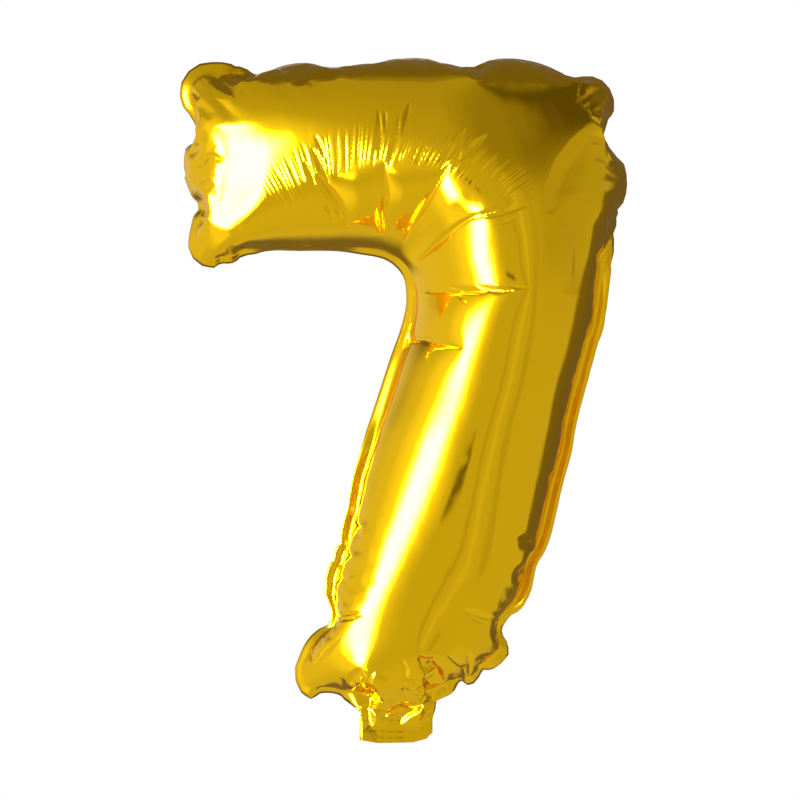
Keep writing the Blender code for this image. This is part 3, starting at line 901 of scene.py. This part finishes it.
for axis, middle, hub in (("X", VIEW_CENTRE[0], COMB_CENTRE[0]), ("Z", VIEW_CENTRE[2], COMB_CENTRE[1])):
    from_middle = worked(finish_tree, "SUBTRACT", spot_parts.outputs[axis], middle)
    spokes.append(worked(finish_tree, "MULTIPLY_ADD", from_middle, larger, middle - hub * MM))
across_squared = worked(finish_tree, "MULTIPLY", spokes[0], spokes[0])
length_squared = worked(finish_tree, "MULTIPLY_ADD", spokes[1], spokes[1], across_squared)
spoke_length = worked(finish_tree, "SQRT", length_squared)
spoke_angle = worked(finish_tree, "ARCTAN2", spokes[1], spokes[0])
change = finish_tree.nodes.new("ShaderNodeTexNoise")
change.noise_dimensions = "1D"
change.inputs["Scale"].default_value = COMB_CHANGE
finish_tree.links.new(spoke_angle, change.inputs["W"])
jitter = worked(finish_tree, "MULTIPLY_ADD", change.outputs[0], COMB_JITTER * MM, -COMB_JITTER / 2 * MM)
band = worked(finish_tree, "MULTIPLY_ADD", spoke_angle, COMB_SPREAD * MM, jitter)
band_middle = (COMB_RADIUS + COMB_SPREAD * math.pi / 2) * MM
band = worked(finish_tree, "SUBTRACT", worked(finish_tree, "ADD", spoke_length, band), band_middle)
uneven = worked(finish_tree, "MULTIPLY_ADD", change.outputs[0], COMB_SHIFT, spoke_angle)
tooth = worked(finish_tree, "SINE", worked(finish_tree, "MULTIPLY", uneven, COMB_TEETH / 2))
tooth = worked(finish_tree, "SUBTRACT", 1.0, worked(finish_tree, "ABSOLUTE", tooth))
tooth = worked(finish_tree, "POWER", tooth, COMB_SHARPNESS)
comb = worked(finish_tree, "MULTIPLY", tooth, faded(finish_tree, band, COMB_HALF * MM, COMB_FADE * MM))
turned = worked(finish_tree, "SUBTRACT", spoke_angle, COMB_MIDDLE)
comb = worked(finish_tree, "MULTIPLY", comb, faded(finish_tree, turned, COMB_HALF_TURN, COMB_TURN_FADE))
comb = worked(finish_tree, "MULTIPLY", comb, given["Comb Depth"])
comb = worked(finish_tree, "MULTIPLY", comb, worked(finish_tree, "ADD", change.outputs[0], COMB_LEAST))
facets = finish_tree.nodes.new("ShaderNodeTexVoronoi")
facets.feature = "DISTANCE_TO_EDGE"
facets.inputs["Scale"].default_value = CRUMPLE_GRAIN
crumple = worked(finish_tree, "MULTIPLY", facets.outputs["Distance"], given["Crumple Depth"])
for axis, place, half in zip("XZ", CRUMPLE_PLACE, CRUMPLE_HALF):
    aside = worked(finish_tree, "SUBTRACT", spot_parts.outputs[axis], place * MM)
    inside = faded(finish_tree, aside, half * MM, CRUMPLE_FADE * MM)
    crumple = worked(finish_tree, "MULTIPLY", crumple, inside)
outwards = finish_tree.nodes.new("GeometryNodeInputNormal")
moved = finish_tree.nodes.new("ShaderNodeVectorMath")
moved.operation = "SCALE"
finish_tree.links.new(outwards.outputs["Normal"], moved.inputs["Vector"])
raised = worked(finish_tree, "SUBTRACT", crumple, comb)
finish_tree.links.new(raised, moved.inputs["Scale"])
wrinkled = finish_tree.nodes.new("GeometryNodeSetPosition")
finish_tree.links.new(given["Sheet"], wrinkled.inputs["Geometry"])
finish_tree.links.new(moved.outputs["Vector"], wrinkled.inputs["Offset"])
real = finish_tree.nodes.new("GeometryNodeRealizeInstances")
finish_tree.links.new(wrinkled.outputs["Geometry"], real.inputs["Geometry"])
filmed = finish_tree.nodes.new("GeometryNodeSetMaterial")
finish_tree.links.new(real.outputs["Geometry"], filmed.inputs["Geometry"])
finish_tree.links.new(given["Film"], filmed.inputs["Material"])
finish_tree.links.new(filmed.outputs["Geometry"], taken["Sheet"])


def foil_sheet(name, sheet, side):
    """One sheet of the balloon with its own half of the margin, as a thin closed shell."""
    own = np.concatenate([faces[kind == sheet], margin_faces if side < 0 else margin_faces[:, ::-1]])
    used, own = np.unique(own, return_inverse=True)
    own = own.reshape(-1, 3)
    places = (film - side * WELD_HALF * margin_facing)[used] * MM
    mesh = bpy.data.meshes.new(name)
    mesh.from_pydata(places.tolist(), [], own.tolist())
    mesh.shade_smooth()
    cut = mesh.uv_layers.new(name="flat_cut")
    loops = np.empty(len(mesh.loops), int)
    mesh.loops.foreach_get("vertex_index", loops)
    cut.data.foreach_set("uv", (flat[used][loops][:, [0, 2]] * MM).ravel())
    mesh.materials.append(foil)
    mesh.materials.append(lining)
    piece = bpy.data.objects.new(name, mesh)
    bpy.context.scene.collection.objects.link(piece)
    finish = piece.modifiers.new("film_finish", "NODES")
    finish.node_group = finish_tree
    inputs = [item for item in finish_tree.interface.items_tree if item.in_out == "INPUT"]
    sockets = {item.name: item.identifier for item in inputs}
    finish[sockets["Comb Depth"]] = COMB_DEPTH * MM if sheet == FRONT else 0.0
    finish[sockets["Crumple Depth"]] = CRUMPLE_DEPTH * MM
    finish[sockets["Film"]] = foil
    shell = piece.modifiers.new("film_thickness", "SOLIDIFY")
    shell.thickness = FILM_THICKNESS * MM
    shell.offset = -1.0
    shell.material_offset = 1
    solid = bpy.data.meshes.new_from_object(piece.evaluated_get(bpy.context.evaluated_depsgraph_get()))
    piece.modifiers.clear()
    piece.data = solid
    solid.name = name
    bpy.data.meshes.remove(mesh)
    return piece


for name, sheet, side, stands_for in (
    ("front_sheet", FRONT, -1.0, ("front_foil", "tail_front_film")),
    ("back_sheet", BACK, 1.0, ("back_foil", "tail_back_film")),
):
    piece = foil_sheet(name, sheet, side)
    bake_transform(piece)
    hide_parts(*stands_for)

# The valve: two soft clear films lie inside the neck, welded to the foil along their sides. Air
# pushes their free flaps together, so the balloon stays full once the straw is drawn out.
MILKY_TONES = ((0.8, 0.8, 0.76, 1.0), (0.72, 0.73, 0.70, 1.0))
MILKY_ROUGHNESS = (0.25, 0.45)
MILKY_CLEARNESS = 0.4
MILKY_GRAIN = 400.0
valve, tree, shader = new_material("valve_film")
shader.inputs["Transmission Weight"].default_value = MILKY_CLEARNESS
cloud = clouds(tree, MILKY_GRAIN)
tree.links.new(toned(tree, cloud, MILKY_TONES), shader.inputs["Base Color"])
tree.links.new(spread(tree, cloud, MILKY_ROUGHNESS), shader.inputs["Roughness"])
for node in ("valve_front_root", "valve_back_root", "valve_front_flap", "valve_back_flap"):
    valve_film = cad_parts[node]
    valve_film.data.materials.clear()
    valve_film.data.materials.append(valve)

# The studio: a white backdrop that only the camera sees, a pale paper floor, a large soft box to
# the left of the camera with a lit wall round it, and dark flags at the right and behind. The foil
# mirrors lights and flags, so each is a soft-edged panel with its own place and brightness.
world = bpy.data.worlds.new("studio")
bpy.context.scene.world = world
world.use_nodes = True

panel_group = bpy.data.node_groups.new("soft_panel", "ShaderNodeTree")
SEEN_SOCKETS = ("Azimuth", "Elevation", "Light")
PANEL_SOCKETS = ("Panel Azimuth", "Panel Elevation", "Half Width", "Half Height", "Softness", "Panel Light")
for name in SEEN_SOCKETS + PANEL_SOCKETS:
    group_socket(panel_group, name, "NodeSocketFloat")
group_socket(panel_group, "Light", "NodeSocketFloat", way="OUTPUT")
HALF_TURN = 180.0
given = panel_group.nodes.new("NodeGroupInput").outputs
taken = panel_group.nodes.new("NodeGroupOutput").inputs
across = worked(panel_group, "SUBTRACT", given["Azimuth"], given["Panel Azimuth"])
across = worked(panel_group, "WRAP", across, HALF_TURN, -HALF_TURN)
upward = worked(panel_group, "SUBTRACT", given["Elevation"], given["Panel Elevation"])
panel_mask = worked(
    panel_group,
    "MULTIPLY",
    faded(panel_group, across, given["Half Width"], given["Softness"]),
    faded(panel_group, upward, given["Half Height"], given["Softness"]),
)
panel_mix = panel_group.nodes.new("ShaderNodeMix")
panel_mix.data_type = "FLOAT"
panel_group.links.new(panel_mask, panel_mix.inputs["Factor"])
panel_group.links.new(given["Light"], panel_mix.inputs["A"])
panel_group.links.new(given["Panel Light"], panel_mix.inputs["B"])
panel_group.links.new(panel_mix.outputs["Result"], taken["Light"])

sky = world.node_tree
where = sky.nodes.new("ShaderNodeTexCoord")
parts = sky.nodes.new("ShaderNodeSeparateXYZ")
sky.links.new(where.outputs["Generated"], parts.inputs["Vector"])
DEGREES = math.degrees(1.0)
towards = worked(sky, "MULTIPLY", parts.outputs["Y"], -1.0)
azimuth = worked(sky, "MULTIPLY", worked(sky, "ARCTAN2", parts.outputs["X"], towards), DEGREES)
elevation = worked(sky, "MULTIPLY", worked(sky, "ARCSINE", parts.outputs["Z"]), DEGREES)
CEILING_LIGHT = (
    (-90, 0.62), (-70, 0.66), (-55, 0.66), (-42, 0.60), (-25, 0.60),
    (0, 0.57), (25, 0.55), (45, 0.50), (60, 0.46), (90, 0.42),
)
height = sky.nodes.new("ShaderNodeMapRange")
height.inputs["From Min"].default_value = CEILING_LIGHT[0][0]
height.inputs["From Max"].default_value = CEILING_LIGHT[-1][0]
sky.links.new(elevation, height.inputs["Value"])
fall = sky.nodes.new("ShaderNodeFloatCurve")
stops = [((place - CEILING_LIGHT[0][0]) / HALF_TURN, value) for place, value in CEILING_LIGHT]
fall.mapping.curves[0].points[0].location = stops[0]
fall.mapping.curves[0].points[1].location = stops[-1]
for stop in stops[1:-1]:
    fall.mapping.curves[0].points.new(*stop)
fall.mapping.update()
sky.links.new(height.outputs["Result"], fall.inputs["Value"])
light = fall.outputs["Value"]
PANELS = {
    "left_wall": (-105, -12, 50, 36, 14, 0.78),
    "spill_below_box": (-58, -40, 15, 20, 11, 1.05),
    "spill_round_box": (-52, 0, 30, 24, 12, 1.05),
    "low_card": (-43, -22, 8, 8, 5, 150.0),
    "soft_box": (-46, -3, 11, 14, 7, 150.0),
    "door_post": (13, 0, 1.6, 45, 1.2, 0.48),
    "lit_gap": (24, 0, 3.0, 40, 2.0, 0.68),
    "cupboard": (40, -5, 4.0, 30, 2.0, 0.50),
    "right_wall": (78, 12, 30, 16, 10, 0.47),
    "dark_right_top": (48, 50, 34, 24, 14, 0.32),
    "dark_corner": (95, 52, 45, 22, 12, 0.11),
    "right_flag": (118, -12, 13, 20, 4, 0.19),
    "right_rear": (150, 14, 28, 40, 10, 0.16),
    "dark_back": (180, 52, 70, 32, 14, 0.18),
    "dark_back_low": (180, -36, 52, 20, 12, 0.20),
    "camera_stand": (-6, -10, 5.5, 1.2, 0.9, 0.05),
}
for name, settings in PANELS.items():
    panel = sky.nodes.new("ShaderNodeGroup")
    panel.name = name
    panel.node_tree = panel_group
    for socket, value in zip(SEEN_SOCKETS, (azimuth, elevation, light)):
        sky.links.new(value, panel.inputs[socket])
    for socket, value in zip(PANEL_SOCKETS, settings):
        panel.inputs[socket].default_value = value
    light = panel.outputs["Light"]
path = sky.nodes.new("ShaderNodeLightPath")
shown = sky.nodes.new("ShaderNodeMix")
shown.data_type = "FLOAT"
sky.links.new(path.outputs["Is Camera Ray"], shown.inputs["Factor"])
sky.links.new(light, shown.inputs["A"])
shown.inputs["B"].default_value = 1.0
backdrop = sky.nodes["Background"]
sky.links.new(shown.outputs["Result"], backdrop.inputs["Strength"])
TINTS = ((1.0, 0.88, 0.78, 1.0), (1.0, 1.0, 1.0, 1.0))
DIM_LIGHT = 0.1
FULL_LIGHT = 0.5
warmth = sky.nodes.new("ShaderNodeMapRange")
warmth.inputs["From Min"].default_value = DIM_LIGHT
warmth.inputs["From Max"].default_value = FULL_LIGHT
sky.links.new(shown.outputs["Result"], warmth.inputs["Value"])
sky.links.new(toned(sky, warmth.outputs["Result"], TINTS), backdrop.inputs["Color"])

FLOOR_LEVEL = -0.6
FLOOR_REACH = 3.2
floor_mesh = bpy.data.meshes.new("studio_floor")
ways = ((-1, -1), (1, -1), (1, 1), (-1, 1))
floor_corners = [(x * FLOOR_REACH, y * FLOOR_REACH, FLOOR_LEVEL) for x, y in ways]
floor_mesh.from_pydata(floor_corners, [], [(0, 1, 2, 3)])
floor = bpy.data.objects.new("studio_floor", floor_mesh)
bpy.context.scene.collection.objects.link(floor)
PAPERS = ((0.82, 0.82, 0.81, 1.0), (0.77, 0.77, 0.76, 1.0))
PAPER_ROUGHNESS = 0.8
PAPER_GRAIN = 30.0
paper, tree, shader = new_material("pale_paper")
shader.inputs["Roughness"].default_value = PAPER_ROUGHNESS
tree.links.new(toned(tree, clouds(tree, PAPER_GRAIN), PAPERS), shader.inputs["Base Color"])
floor_mesh.materials.append(paper)
floor.visible_glossy = False
